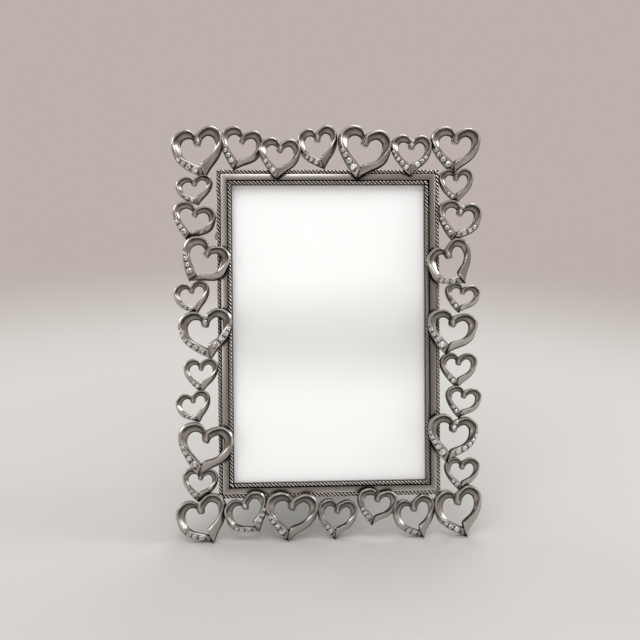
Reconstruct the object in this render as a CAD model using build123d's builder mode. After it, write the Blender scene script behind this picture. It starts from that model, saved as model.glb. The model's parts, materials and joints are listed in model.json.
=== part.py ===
from build123d import *

import os
from collections import namedtuple
from math import cos, pi, radians, sin, tan

# Photo frame for one print, with a garland of ribbon hearts round a roped moulding.
# It leans back on a hinged leg. Millimetres: +X right, +Y back, +Z up, floor at Z = 0.

# Print, glass and the layers behind it
PRINT_WIDTH = 101.6
PRINT_HEIGHT = 152.4
PRINT_THICKNESS = 0.3
GLASS_THICKNESS = 2.0
CARD_THICKNESS = 1.0
BOARD_THICKNESS = 2.5
STACK_GAP = 0.05
POCKET_PLAY = 0.5

# Moulding, measured outward from the window's edge and forward from its back
LIP_COVER = 3.6
LIP_THICKNESS = 1.4
CREST_OUT = 2.7
CREST_RISE = 1.4
FACE_FALL = 1.0
FACE_WIDTH = 2.95
OUTER_SHOULDER = 0.8

# Rope borders
INNER_ROPE_RADIUS = 1.0
INNER_ROPE_INSET = 0.45
OUTER_ROPE_RADIUS = 1.0
OUTER_ROPE_OVERHANG = 0.3
ROPE_LIFT = 0.2
ROPE_GAP = 0.05

# Garland: the moulding size that the hearts are drawn for, and how they sit
DRAWN_EDGE_X = 54.9
DRAWN_EDGE_Y = 80.3
HEART_BACK = 4.5
RIBBON_DEPTH = 0.19
RIBBON_STEPS = 9
CLEFT_STEPS = 2
LOBE_LEVEL = 0.72
FIT_ROUNDS = 8
FULLNESS = 0.0045
FULLNESS_DROP = 0.45
HOOK = 0.003
RAMP_LENGTH = 20.0
SEAT_GAP = 0.1
SOLDER_GAP = 0.05
TRIM_DEPTH = 20.0
FOOT_DROP = 20.7

# Rhinestones
STONE_SHARE = 0.057
STONE_TAPER = 0.87
STONE_SIDES = 6
STONE_SPACING = 0.2
STONE_START = 0.14
STONE_STEP = 0.02
STONE_CROWN = 0.5
STONE_SLOPE = 35.0
STONE_GAP = 0.08

# Stand: how the frame leans and how the leg opens
LEAN = 15.0
LEG_OPEN = 28.0
HINGE_RISE = 45.0
LEG_THICKNESS = 3.0
LEG_TOP_WIDTH = 34.0
LEG_FOOT_WIDTH = 56.0
LEG_CORNER = 5.0
STOP_GAP = 0.15

# Leg hinge
LEAF_THICKNESS = 0.7
LEAF_WIDTH = 24.0
LEAF_LENGTH = 15.0
PIN_RADIUS = 0.8
KNUCKLE_WALL = 0.7
KNUCKLE_GAP = 0.2
AXIS_CLEARANCE = 0.4
MIDDLE_KNUCKLE = 11.6
PIN_FIT = 0.02
PIN_RUNNING_FIT = 0.05
PIN_END = 0.6
RIVET_RADIUS = 0.8
RIVET_HEAD_RADIUS = 1.6
RIVET_HEAD = 0.7
RIVET_SPACING = 14.0
RIVET_DROP = 9.5
RIVET_FIT = 0.05

# Turn buttons and their screws
BUTTON_LENGTH = 17.0
BUTTON_WIDTH = 5.2
BUTTON_THICKNESS = 0.8
BUTTON_GAP = 0.15
BUTTON_RISE = 48.0
SCREW_RADIUS = 0.9
SCREW_DEPTH = 4.0
SCREW_HEAD_RADIUS = 1.9
SCREW_HEAD = 1.1
SCREW_FIT = 0.02
SCREW_TIP_GAP = 0.3
BUTTON_FIT = 0.1

# Sizes that follow from the values above
pocket_depth = (
    BOARD_THICKNESS + CARD_THICKNESS + PRINT_THICKNESS + GLASS_THICKNESS + 4 * STACK_GAP
)
window_x = PRINT_WIDTH / 2 - LIP_COVER
window_y = PRINT_HEIGHT / 2 - LIP_COVER
pocket_out = LIP_COVER + POCKET_PLAY
lip_front = pocket_depth + LIP_THICKNESS
crest_depth = lip_front + CREST_RISE
face_out = CREST_OUT + FACE_WIDTH
shoulder_depth = crest_depth - FACE_FALL
inner_rope_out = INNER_ROPE_INSET + INNER_ROPE_RADIUS
inner_rope_depth = lip_front + ROPE_LIFT
outer_rope_out = face_out + ROPE_GAP + OUTER_ROPE_RADIUS
outer_rope_depth = shoulder_depth - OUTER_SHOULDER
wall_out = outer_rope_out + OUTER_ROPE_RADIUS - OUTER_ROPE_OVERHANG
rope_edge = outer_rope_out + OUTER_ROPE_RADIUS
edge_x = window_x + rope_edge
edge_y = window_y + rope_edge
row_scale = edge_x / DRAWN_EDGE_X
column_scale = edge_y / DRAWN_EDGE_Y
rail_seat = outer_rope_depth + OUTER_ROPE_RADIUS + SEAT_GAP
foot_line = edge_y + FOOT_DROP * row_scale
knuckle_radius = PIN_RADIUS + PIN_RUNNING_FIT + KNUCKLE_WALL
axis_offset = knuckle_radius + AXIS_CLEARANCE
leg_slope = radians(LEG_OPEN - LEAN)
lean = radians(LEAN)

# Where the frame's back plane stands, so that the origin is under the middle of the box
frame_height = foot_line * cos(lean) - HEART_BACK * sin(lean)
hinge_back = HINGE_RISE * sin(lean) + axis_offset * cos(lean)
hinge_height = frame_height + HINGE_RISE * cos(lean) - axis_offset * sin(lean)
back_reach = hinge_back + hinge_height * tan(leg_slope) + (axis_offset + LEG_THICKNESS) / cos(leg_slope)
front_reach = foot_line * sin(lean) + 2 * HEART_BACK * cos(lean)
frame_y = (front_reach - back_reach) / 2

FRAME = Plane(origin=(0, frame_y, frame_height), x_dir=(1, 0, 0), z_dir=(0, -cos(lean), sin(lean)))
HINGE = Plane(
    origin=(0, frame_y + hinge_back, hinge_height),
    x_dir=(1, 0, 0),
    z_dir=(0, -cos(lean), sin(lean)),
)
LEG = Plane(
    origin=HINGE.origin,
    x_dir=(1, 0, 0),
    z_dir=(0, -cos(leg_slope), -sin(leg_slope)),
)

# The ribbon at key places along each arm, for a heart one unit wide and high, tip at the origin:
# outer edge x and y, inner edge x and y, the ridge's share of the way in,
# and the height of the outer edge, the ridge and the inner edge as shares of the ribbon's depth.
LEFT_ARM = [
    (-0.02, 0.86, -0.05, 0.72, 0.20, 0.50, 0.70, 0.30),
    (-0.10, 0.965, -0.10, 0.80, 0.20, 0.70, 0.95, 0.30),
    (-0.25, 1.00, -0.205, 0.82, 0.20, 0.72, 1.00, 0.30),
    (-0.43, 0.905, -0.295, 0.755, 0.26, 0.70, 1.00, 0.35),
    (-0.50, 0.72, -0.325, 0.65, 0.45, 0.60, 1.00, 0.45),
    (-0.45, 0.51, -0.295, 0.53, 0.65, 0.50, 1.00, 0.60),
    (-0.32, 0.31, -0.21, 0.42, 0.80, 0.45, 0.95, 0.70),
    (-0.15, 0.12, -0.11, 0.335, 0.85, 0.42, 0.85, 0.65),
    (-0.01, 0.01, -0.01, 0.27, 0.85, 0.40, 0.70, 0.55),
]
RIGHT_ARM = [
    (-0.085, 0.68, 0.055, 0.645, 0.50, 0.50, 0.85, 0.50),
    (-0.07, 0.785, 0.075, 0.705, 0.45, 0.60, 1.00, 0.50),
    (0.005, 0.895, 0.115, 0.77, 0.32, 0.70, 1.00, 0.42),
    (0.24, 1.00, 0.215, 0.82, 0.20, 0.72, 1.00, 0.30),
    (0.43, 0.905, 0.31, 0.76, 0.26, 0.70, 1.00, 0.35),
    (0.50, 0.72, 0.34, 0.645, 0.50, 0.60, 1.00, 0.45),
    (0.455, 0.52, 0.305, 0.53, 0.70, 0.60, 1.00, 0.60),
    (0.33, 0.335, 0.20, 0.43, 0.85, 0.60, 1.00, 0.75),
    (0.15, 0.17, 0.08, 0.35, 0.90, 0.62, 1.00, 0.80),
    (-0.005, 0.0, -0.055, 0.26, 0.90, 0.62, 1.00, 0.80),
]
ARMS = {"left": (-1, LEFT_ARM), "right": (1, RIGHT_ARM)}

# The garland: the box that each heart fills on the drawn moulding, its turn in degrees clockwise,
# the stones on its two arms, whether it rides up over the rail, and the neighbours that lie over it.
Drawn = namedtuple("Drawn", "row left right bottom top turn stones rides under")
DRAWN_HEARTS = {
    "t1": Drawn("corner", -76.0, -51.5, 76.0, 101.5, -10, (4, 0), False, ["t2"]),
    "t2": Drawn("top", -52.5, -32.5, 80.0, 101.5, 13, (3, 0), False, ["t3"]),
    "t3": Drawn("top", -34.0, -14.5, 75.5, 96.0, 5, (3, 0), True, ["t4"]),
    "t4": Drawn("top", -15.0, 5.0, 80.5, 102.0, -11, (3, 0), False, ["t5"]),
    "t5": Drawn("top", 5.0, 31.5, 75.5, 102.0, 11, (4, 0), True, []),
    "t6": Drawn("top", 31.0, 51.5, 77.0, 97.5, 2, (5, 3), True, ["t5"]),
    "t7": Drawn("corner", 51.0, 76.0, 78.0, 101.5, 3, (4, 0), False, ["t6", "r1"]),
    "l1": Drawn("left", -74.5, -56.5, 63.0, 78.0, -9, (2, 0), False, ["t1"]),
    "l2": Drawn("left", -76.0, -55.0, 46.0, 65.0, 14, (3, 0), False, ["l1", "l3"]),
    "l3": Drawn("left", -71.5, -48.5, 26.0, 48.0, 26, (4, 0), True, ["l4"]),
    "l4": Drawn("left", -76.0, -58.5, 10.0, 26.5, -12, (2, 0), False, []),
    "l5": Drawn("left", -74.0, -47.5, -12.0, 13.0, -8, (6, 4), True, ["l4"]),
    "l6": Drawn("left", -71.5, -54.5, -28.5, -11.5, -2, (2, 0), False, ["l5"]),
    "l7": Drawn("left", -75.5, -58.5, -43.0, -27.0, -14, (2, 0), False, ["l6"]),
    "l8": Drawn("left", -74.5, -47.5, -69.0, -42.5, 9, (4, 0), True, ["l7"]),
    "l9": Drawn("left", -72.5, -55.0, -82.0, -65.0, 4, (2, 0), False, ["l8"]),
    "l10": Drawn("corner", -76.0, -53.0, -102.0, -77.5, -18, (3, 0), False, ["l9"]),
    "r1": Drawn("right", 55.0, 72.5, 63.5, 81.0, -2, (2, 0), False, []),
    "r2": Drawn("right", 54.5, 76.5, 44.5, 65.5, 10, (4, 3), False, ["r1"]),
    "r3": Drawn("right", 48.0, 71.0, 24.0, 46.5, -26, (3, 0), True, ["r2"]),
    "r4": Drawn("right", 58.0, 75.5, 9.5, 24.5, 9, (2, 0), False, ["r3"]),
    "r5": Drawn("right", 48.0, 74.0, -11.0, 11.5, 10, (4, 0), True, ["r4", "r6"]),
    "r6": Drawn("right", 55.0, 74.0, -28.0, -10.0, 2, (2, 0), False, []),
    "r7": Drawn("right", 58.0, 76.0, -43.0, -26.5, 10, (2, 0), False, ["r6"]),
    "r8": Drawn("right", 48.0, 74.0, -64.5, -40.0, 9, (5, 5), True, ["r7", "r9"]),
    "r9": Drawn("right", 57.0, 75.0, -79.5, -62.0, 2, (2, 0), False, []),
    "r10": Drawn("corner", 51.5, 76.0, -102.0, -76.0, -12, (3, 0), False, ["r9"]),
    "b1": Drawn("bottom", -52.5, -32.0, -97.0, -76.5, -24, (3, 3), True, ["l10"]),
    "b2": Drawn("bottom", -32.5, -6.0, -102.5, -77.0, 5, (4, 0), True, ["b1"]),
    "b3": Drawn("bottom", -6.5, 13.5, -102.0, -81.5, 4, (2, 0), False, ["b2"]),
    "b4": Drawn("bottom", 13.0, 33.0, -95.0, -76.0, 9, (3, 0), True, ["b3"]),
    "b5": Drawn("bottom", 31.0, 52.5, -102.0, -80.0, -15, (2, 0), False, ["b4", "r10"]),
}


def scaled_corner(row, x, y):
    """A drawn point, moved with the moulding: side columns follow its height, the rest its width."""
    side = 1 if x > 0 else -1
    rise = 1 if y > 0 else -1
    if row in ("left", "right"):
        return Vector(side * (edge_x + (abs(x) - DRAWN_EDGE_X) * column_scale), y * column_scale)
    return Vector(x * row_scale, rise * (edge_y + (abs(y) - DRAWN_EDGE_Y) * row_scale))


def along(stations, share):
    """A smooth curve through the key stations, by the usual cubic through four neighbours."""
    last = len(stations) - 1
    at = min(int(share * last), last - 1)
    f = share * last - at
    around = [stations[min(max(at + step, 0), last)] for step in (-1, 0, 1, 2)]
    return [
        (2 * q + (r - p) * f + (2 * p - 5 * q + 4 * r - s) * f**2 + (3 * q - p - 3 * r + s) * f**3) / 2
        for p, q, r, s in zip(*around)
    ]


def turned_point(side, x, y, width, height, turn):
    """A point of the unit heart, made fuller on the side it turns to, hooked, sized and turned."""
    up = min(y / LOBE_LEVEL, 1)
    if side * turn > 0:
        full = FULLNESS * abs(turn) * sin(pi * up) ** 2
        x = x + side * full
        y = y - FULLNESS_DROP * full
    x = x + HOOK * turn * (1 - (1 - up) ** 2)
    c = cos(radians(turn))
    s = sin(radians(turn))
    return Vector(x * width * c + y * height * s, y * height * c - x * width * s)


def place_heart(drawn):
    """The width, height and tip that make a turned heart fill its box."""
    low = scaled_corner(drawn.row, drawn.left, drawn.bottom)
    high = scaled_corner(drawn.row, drawn.right, drawn.top)
    width = high.X - low.X
    height = high.Y - low.Y
    shares = [step / RIBBON_STEPS for step in range(RIBBON_STEPS + 1)]
    unit_ring = [(side, *along(stations, t)[:2]) for side, stations in ARMS.values() for t in shares]
    for _ in range(FIT_ROUNDS):
        ring = [turned_point(side, x, y, width, height, drawn.turn) for side, x, y in unit_ring]
        xs = [point.X for point in ring]
        ys = [point.Y for point in ring]
        width = width * (high.X - low.X) / (max(xs) - min(xs))
        height = height * (high.Y - low.Y) / (max(ys) - min(ys))
    tip = Vector(low.X - min(xs), low.Y - min(ys))
    return Heart(drawn.row, tip, width, height, drawn.turn, drawn.stones, drawn.rides, drawn.under)


Heart = namedtuple("Heart", "row tip width height turn stones rides under")
HEARTS = {name: place_heart(drawn) for name, drawn in DRAWN_HEARTS.items()}


def plan_point(heart, side, x, y):
    """A point of the unit heart where it lies on the frame."""
    return heart.tip + turned_point(side, x, y, heart.width, heart.height, heart.turn)


def base_depth(heart, point):
    """Depth of the heart's back: level, or rising to ride over the rail."""
    if not heart.rides:
        return HEART_BACK
    if heart.row in ("left", "right"):
        inside = edge_x - abs(point.X)
    else:
        inside = edge_y - abs(point.Y)
    return HEART_BACK + (rail_seat - HEART_BACK) * (1 + inside / RAMP_LENGTH)


def ribbon(heart, arm):
    """Cross-sections of one arm, each five points in the frame's own axes."""
    side, stations = ARMS[arm]
    depth = RIBBON_DEPTH * heart.width
    sections = []
    for step in range(RIBBON_STEPS + 1):
        ox, oy, ix, iy, ridge, outer_rise, ridge_rise, inner_rise = along(stations, step / RIBBON_STEPS)
        outer = plan_point(heart, side, ox, oy)
        inner = plan_point(heart, side, ix, iy)
        crest = outer + (inner - outer) * ridge
        sections.append(
            [
                outer + Vector(0, 0, base_depth(heart, outer)),
                outer + Vector(0, 0, base_depth(heart, outer) + outer_rise * depth),
                crest + Vector(0, 0, base_depth(heart, crest) + ridge_rise * depth),
                inner + Vector(0, 0, base_depth(heart, inner) + inner_rise * depth),
                inner + Vector(0, 0, base_depth(heart, inner)),
            ]
        )
    return sections


def outline(heart, gap):
    """Plan outline of a heart from the cleft round the tip and back, grown by a gap."""
    left = [section[0] for section in ribbon(heart, "left")]
    right = [section[0] for section in ribbon(heart, "right")[CLEFT_STEPS:]]
    ring = [Vector(p.X, p.Y) for p in left + right[::-1]]
    middle = plan_point(heart, 0, 0, LOBE_LEVEL * 2 / 3)
    return [p + (p - middle).normalized() * gap for p in ring]


def make_ribbon(heart, arm):
    """One arm as a closed skin of flat facets from each cross-section to the next."""
    sections = [[FRAME.from_local_coords(p) for p in section] for section in ribbon(heart, arm)]
    rings = [sections[0], sections[-1]]
    for near, far in zip(sections, sections[1:]):
        for side in range(len(near)):
            a, b = near[side - 1], near[side]
            c, d = far[side - 1], far[side]
            rings.append([a, b, d])
            rings.append([a, d, c])
    skin = Shell([Face(Wire.make_polygon(ring, close=True)) for ring in rings])
    return Solid(skin)


def make_prism(points):
    """An upright prism over a plan outline, deep enough to cut right through a heart."""
    with BuildPart() as prism:
        with BuildSketch(FRAME):
            with BuildLine():
                Polyline(*points, close=True)
            make_face()
        extrude(amount=TRIM_DEPTH)
    return prism.part


def make_heart(heart):
    """One ribbon heart, coped where a neighbour lies over it, and trimmed at the rail and the floor."""
    trims = [make_prism(outline(HEARTS[name], SOLDER_GAP)) for name in heart.under]
    if not heart.rides:
        x = edge_x + SOLDER_GAP
        y = edge_y + SOLDER_GAP
        trims.append(make_prism([(-x, -y), (x, -y), (x, y), (-x, y)]))
    arms = [make_ribbon(heart, arm) for arm in ARMS]
    with BuildPart() as piece:
        add(arms)
        if trims:
            add(trims, mode=Mode.SUBTRACT)
        if heart.tip.Y < -edge_y:
            split(bisect_by=Plane.XY, keep=Keep.TOP)
    return piece.part


def facet_point(sections, share):
    """The middle of the outer facet, at a share of the way along an arm, and the line across it."""
    place = share * (len(sections) - 1)
    at = min(int(place), len(sections) - 2)
    f = place - at
    low = sections[at][1] + (sections[at + 1][1] - sections[at][1]) * f
    high = sections[at][2] + (sections[at + 1][2] - sections[at][2]) * f
    return (low + high) / 2, high - low


def stone_places(heart, arm, count):
    """Graded stones from the tip up one arm: plane on the facet, and radius."""
    sections = ribbon(heart, arm)
    places = []
    radius = STONE_SHARE * heart.width
    share = 1 - STONE_START
    for _ in range(count):
        point, across = facet_point(sections, share)
        ahead = facet_point(sections, share - STONE_STEP)[0] - point
        normal = ahead.cross(across).normalized()
        normal = normal if normal.Z > 0 else -normal
        origin = FRAME.from_local_coords(point + normal * STONE_GAP)
        x_dir = FRAME.from_local_coords(ahead) - FRAME.origin
        z_dir = FRAME.from_local_coords(normal) - FRAME.origin
        places.append((Plane(origin=origin, x_dir=x_dir, z_dir=z_dir), radius))
        pitch = radius * (1 + STONE_TAPER) + STONE_SPACING
        share = share - STONE_STEP * pitch / ahead.length
        radius = radius * STONE_TAPER
    return places


def make_stone(plane, radius):
    """A flat-backed stone: a crown of sloping facets round a flat table."""
    with BuildPart() as stone:
        with BuildSketch(plane):
            RegularPolygon(radius, STONE_SIDES)
        extrude(amount=STONE_CROWN * radius)
        girdle = stone.faces().sort_by(Axis(plane.origin, plane.z_dir))[1:-1]
        draft(girdle, neutral_plane=plane, angle=STONE_SLOPE)
    return stone.part


def row_stones(row):
    """All the stones of one row of hearts."""
    return [
        make_stone(plane, radius)
        for heart in HEARTS.values()
        if heart.row == row
        for arm, count in zip(ARMS, heart.stones)
        for plane, radius in stone_places(heart, arm, count)
    ]


def rail_section():
    """The plane of the moulding's profile at the middle of the bottom rail: outward, then forward."""
    origin = FRAME.from_local_coords((0, -window_y, 0))
    return Plane(origin=origin, x_dir=-FRAME.y_dir, z_dir=-FRAME.x_dir)


def window_path():
    """The window's edge, round from the middle of the bottom rail."""
    with BuildLine(FRAME) as path:
        Polyline(
            (0, -window_y),
            (window_x, -window_y),
            (window_x, window_y),
            (-window_x, window_y),
            (-window_x, -window_y),
            close=True,
        )
    return path.line


def make_rope(out, depth, radius):
    """A round bead along the window's edge, at a distance out and forward."""
    with BuildPart() as rope:
        with BuildSketch(rail_section()):
            with Locations((out, depth)):
                Circle(radius)
        sweep(path=window_path(), transition=Transition.RIGHT)
    return rope.part


button_x = window_x + (pocket_out + wall_out) / 2
button_places = [(side * button_x, rise * BUTTON_RISE) for side in (-1, 1) for rise in (1, -1)]
rivet_places = [(side * RIVET_SPACING / 2, -RIVET_DROP) for side in (-1, 1)]
screw_head_depth = 2 * BUTTON_GAP + BUTTON_THICKNESS

# Moulding
with BuildPart() as moulding:
    with BuildSketch(rail_section()):
        with BuildLine():
            Polyline(
                (0, pocket_depth),
                (0, lip_front),
                (inner_rope_out + INNER_ROPE_RADIUS, lip_front),
                (CREST_OUT, crest_depth),
                (face_out, shoulder_depth),
                (wall_out, outer_rope_depth),
                (wall_out, 0),
                (pocket_out, 0),
                (pocket_out, pocket_depth),
                close=True,
            )
        make_face()
    sweep(path=window_path(), transition=Transition.RIGHT)
    add(make_rope(inner_rope_out, inner_rope_depth, INNER_ROPE_RADIUS + ROPE_GAP), mode=Mode.SUBTRACT)
    add(make_rope(outer_rope_out, outer_rope_depth, OUTER_ROPE_RADIUS + ROPE_GAP), mode=Mode.SUBTRACT)
    with BuildSketch(FRAME):
        with Locations(*button_places):
            Circle(SCREW_RADIUS + SCREW_FIT)
    extrude(amount=SCREW_DEPTH + SCREW_TIP_GAP, mode=Mode.SUBTRACT)


def make_layer(depth, thickness):
    """One flat layer of the stack in the pocket, cut to the print's size."""
    with BuildPart() as layer:
        with BuildSketch(FRAME.offset(depth)):
            Rectangle(PRINT_WIDTH, PRINT_HEIGHT)
        extrude(amount=thickness)
    return layer.part


card_depth = BOARD_THICKNESS + STACK_GAP
print_depth = card_depth + CARD_THICKNESS + STACK_GAP
glass_depth = print_depth + PRINT_THICKNESS + STACK_GAP

# Back board, riveted to the hinge
with BuildPart() as back_board:
    with BuildSketch(FRAME):
        Rectangle(PRINT_WIDTH, PRINT_HEIGHT)
        with Locations((0, HINGE_RISE)):
            with Locations(*rivet_places):
                Circle(RIVET_RADIUS + RIVET_FIT, mode=Mode.SUBTRACT)
    extrude(amount=BOARD_THICKNESS)

side_knuckle = (LEAF_WIDTH - MIDDLE_KNUCKLE) / 2 - KNUCKLE_GAP
side_knuckle_x = (LEAF_WIDTH - side_knuckle) / 2
leaf_top = -(knuckle_radius + AXIS_CLEARANCE)


def make_leaf(plane, inward, knuckles, bore):
    """A hinge leaf: a riveted plate below the pin, and a tube for each knuckle."""
    with BuildPart() as leaf:
        with BuildSketch(plane.offset(inward * (axis_offset - LEAF_THICKNESS))):
            with Locations((0, leaf_top)):
                Rectangle(LEAF_WIDTH, LEAF_LENGTH + leaf_top, align=(Align.CENTER, Align.MAX))
            for x, width in knuckles:
                with Locations((x, 0)):
                    Rectangle(width, -leaf_top, align=(Align.CENTER, Align.MAX))
            with Locations(*rivet_places):
                Circle(RIVET_RADIUS + RIVET_FIT, mode=Mode.SUBTRACT)
        extrude(amount=inward * LEAF_THICKNESS)
        for x, width in knuckles:
            end = plane.from_local_coords((x - width / 2, 0, 0))
            with BuildSketch(Plane(origin=end, x_dir=plane.y_dir, z_dir=plane.x_dir)):
                Circle(knuckle_radius)
            extrude(amount=width)
        start = plane.from_local_coords((-LEAF_WIDTH / 2, 0, 0))
        with BuildSketch(Plane(origin=start, x_dir=plane.y_dir, z_dir=plane.x_dir)):
            Circle(bore)
        extrude(amount=LEAF_WIDTH, mode=Mode.SUBTRACT)
    return leaf.part


# Hinge leaves and pin
board_knuckles = [(-side_knuckle_x, side_knuckle), (side_knuckle_x, side_knuckle)]
with BuildPart() as board_hinge_leaf:
    add(make_leaf(HINGE, 1, board_knuckles, PIN_RADIUS + PIN_FIT))
with BuildPart() as leg_hinge_leaf:
    add(make_leaf(LEG, -1, [(0, MIDDLE_KNUCKLE)], PIN_RADIUS + PIN_RUNNING_FIT))
with BuildPart() as hinge_pin:
    pin_start = HINGE.from_local_coords((-LEAF_WIDTH / 2 - PIN_END, 0, 0))
    with BuildSketch(Plane(origin=pin_start, x_dir=HINGE.y_dir, z_dir=HINGE.x_dir)):
        Circle(PIN_RADIUS)
    extrude(amount=LEAF_WIDTH + 2 * PIN_END)

# Easel leg: a tapered board with a heel that bears on the back board, cut level at the foot
leg_drop = hinge_height / cos(leg_slope)
heel = axis_offset * (1 + cos(radians(LEG_OPEN))) / sin(radians(LEG_OPEN))
leg_foot = leg_drop + (axis_offset + LEG_THICKNESS) * tan(leg_slope) + LEG_THICKNESS
with BuildPart() as easel_leg:
    with BuildSketch(LEG.offset(-axis_offset)):
        with BuildLine():
            Polyline(
                (-LEG_TOP_WIDTH / 2, heel),
                (LEG_TOP_WIDTH / 2, heel),
                (LEG_FOOT_WIDTH / 2, -leg_foot),
                (-LEG_FOOT_WIDTH / 2, -leg_foot),
                close=True,
            )
        make_face()
        with Locations(*rivet_places):
            Circle(RIVET_RADIUS + RIVET_FIT, mode=Mode.SUBTRACT)
    extrude(amount=-LEG_THICKNESS)
    top_corners = easel_leg.edges().filter_by(Axis(LEG.origin, LEG.z_dir)).group_by(Axis.Z)[-1]
    fillet(top_corners, LEG_CORNER)
    split(bisect_by=FRAME.offset(-STOP_GAP), keep=Keep.BOTTOM)
    split(bisect_by=Plane.XY, keep=Keep.TOP)


def make_rivets(plane, inward, grip, tail):
    """A pair of rivets: heads on the leaf, shanks through the leaf and what it is riveted to."""
    head = plane.offset(inward * (axis_offset - LEAF_THICKNESS))
    with BuildPart() as rivets:
        with BuildSketch(head):
            with Locations(*rivet_places):
                Circle(RIVET_HEAD_RADIUS)
        extrude(amount=-inward * RIVET_HEAD)
        with BuildSketch(head):
            with Locations(*rivet_places):
                Circle(RIVET_RADIUS)
        extrude(amount=inward * (LEAF_THICKNESS + grip))
        if tail:
            with BuildSketch(plane.offset(inward * (axis_offset + grip))):
                with Locations(*rivet_places):
                    Circle(RIVET_HEAD_RADIUS)
            extrude(amount=inward * RIVET_HEAD)
    return rivets.part


with BuildPart() as board_rivets:
    add(make_rivets(HINGE, 1, BOARD_THICKNESS, False))
with BuildPart() as leg_rivets:
    add(make_rivets(LEG, -1, LEG_THICKNESS, True))


def make_turn_button(x, y):
    """A plate with round ends that turns on its screw and holds the back board in."""
    inward = -1 if x > 0 else 1
    with BuildPart() as button:
        with BuildSketch(FRAME.offset(-BUTTON_GAP)):
            with Locations((x + inward * (BUTTON_LENGTH - BUTTON_WIDTH) / 2, y)):
                SlotOverall(BUTTON_LENGTH, BUTTON_WIDTH)
            with Locations((x, y)):
                Circle(SCREW_RADIUS + BUTTON_FIT, mode=Mode.SUBTRACT)
        extrude(amount=-BUTTON_THICKNESS)
    return button.part


# Screws of the turn buttons
with BuildPart() as button_screws:
    with BuildSketch(FRAME.offset(-screw_head_depth)):
        with Locations(*button_places):
            Circle(SCREW_RADIUS)
    extrude(amount=screw_head_depth + SCREW_DEPTH)
    with BuildSketch(FRAME.offset(-screw_head_depth)):
        with Locations(*button_places):
            Circle(SCREW_HEAD_RADIUS)
    extrude(amount=-SCREW_HEAD)

pieces = {
    "moulding": moulding.part,
    "inner_rope": make_rope(inner_rope_out, inner_rope_depth, INNER_ROPE_RADIUS),
    "outer_rope": make_rope(outer_rope_out, outer_rope_depth, OUTER_ROPE_RADIUS),
    "glass_pane": make_layer(glass_depth, GLASS_THICKNESS),
    "photo_insert": make_layer(print_depth, PRINT_THICKNESS),
    "filler_card": make_layer(card_depth, CARD_THICKNESS),
    "back_board": back_board.part,
    "board_hinge_leaf": board_hinge_leaf.part,
    "leg_hinge_leaf": leg_hinge_leaf.part,
    "hinge_pin": hinge_pin.part,
    "easel_leg": easel_leg.part,
    "board_rivets": board_rivets.part,
    "leg_rivets": leg_rivets.part,
    "button_screws": button_screws.part,
}
for (x, y), corner in zip(button_places, ("upper_left", "lower_left", "upper_right", "lower_right")):
    pieces[f"turn_button_{corner}"] = make_turn_button(x, y)
for row in ("top", "bottom", "left", "right", "corner"):
    row_of_hearts = [make_heart(heart) for heart in HEARTS.values() if heart.row == row]
    with BuildPart() as hearts:
        add(row_of_hearts)
    pieces[f"{row}_hearts"] = hearts.part
    row_of_stones = row_stones(row)
    with BuildPart() as stones:
        add(row_of_stones)
    pieces[f"{row}_stones"] = stones.part

os.makedirs("parts", exist_ok=True)
for label, piece in pieces.items():
    piece.label = label
    export_step(piece, f"parts/{label}.step")
    print(label, len(piece.solids()), "solids", round(piece.volume, 1), "mm3")
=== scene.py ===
# %% [markdown]
# # A photo frame with a garland of ribbon hearts
# The real thing is cast in zinc alloy with a pewter finish, darkened with an antique wash and rubbed back,
# so that high edges shine and hollows stay brown. Clear stones are set along the hearts, and a velvet back
# with a fold-out leg closes it. The packed model gives every rigid piece its place. This lesson adds what
# the eye looks for.

# %% Load the packed model
import json
import math
from collections import namedtuple

import bmesh
import bpy
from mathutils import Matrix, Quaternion, Vector


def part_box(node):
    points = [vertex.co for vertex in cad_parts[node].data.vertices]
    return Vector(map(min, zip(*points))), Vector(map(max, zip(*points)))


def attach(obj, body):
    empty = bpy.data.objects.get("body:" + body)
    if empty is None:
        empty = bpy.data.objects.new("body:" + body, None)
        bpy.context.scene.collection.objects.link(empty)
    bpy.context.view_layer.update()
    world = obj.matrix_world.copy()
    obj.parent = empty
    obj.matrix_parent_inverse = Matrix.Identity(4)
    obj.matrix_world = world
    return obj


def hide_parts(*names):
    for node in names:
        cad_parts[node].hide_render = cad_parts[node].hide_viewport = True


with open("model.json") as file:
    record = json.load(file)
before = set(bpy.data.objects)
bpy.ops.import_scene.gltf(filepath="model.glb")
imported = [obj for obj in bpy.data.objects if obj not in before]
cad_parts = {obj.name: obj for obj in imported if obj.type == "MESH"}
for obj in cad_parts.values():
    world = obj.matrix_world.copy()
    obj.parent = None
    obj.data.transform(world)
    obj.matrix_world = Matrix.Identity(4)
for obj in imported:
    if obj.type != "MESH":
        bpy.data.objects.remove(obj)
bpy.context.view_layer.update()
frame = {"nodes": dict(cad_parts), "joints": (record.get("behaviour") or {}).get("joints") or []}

MM = 0.001

# %% [markdown]
# ## The frame's own axes
# The frame leans back, so it is easier to think in its own axes: right, up along the frame, and forward out
# of its face. The axis of a turn button points straight forward, and the back board's middle gives a place
# to measure from. Every later size is then a plain millimetre value on the flat frame.

# %% Axes of the leaning frame
BOARD_THICKNESS = 2.5
button_joint = next(j for j in frame["joints"] if j["name"] == "turn_button_upper_left_turn")
RIGHT = Vector((1, 0, 0))
FRONT = Vector(button_joint["axis"]).normalized()
UP = FRONT.cross(RIGHT)
board_low, board_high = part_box("back_board")
BACK = (board_low + board_high) / 2 - FRONT * (BOARD_THICKNESS / 2 * MM)


def on_frame(point):
    """A point given in millimetres right, up and forward on the frame, as a place in the scene."""
    return BACK + (RIGHT * point[0] + UP * point[1] + FRONT * point[2]) * MM


print("the frame leans back by", round(math.degrees(math.asin(FRONT.z)), 1), "degrees")

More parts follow.
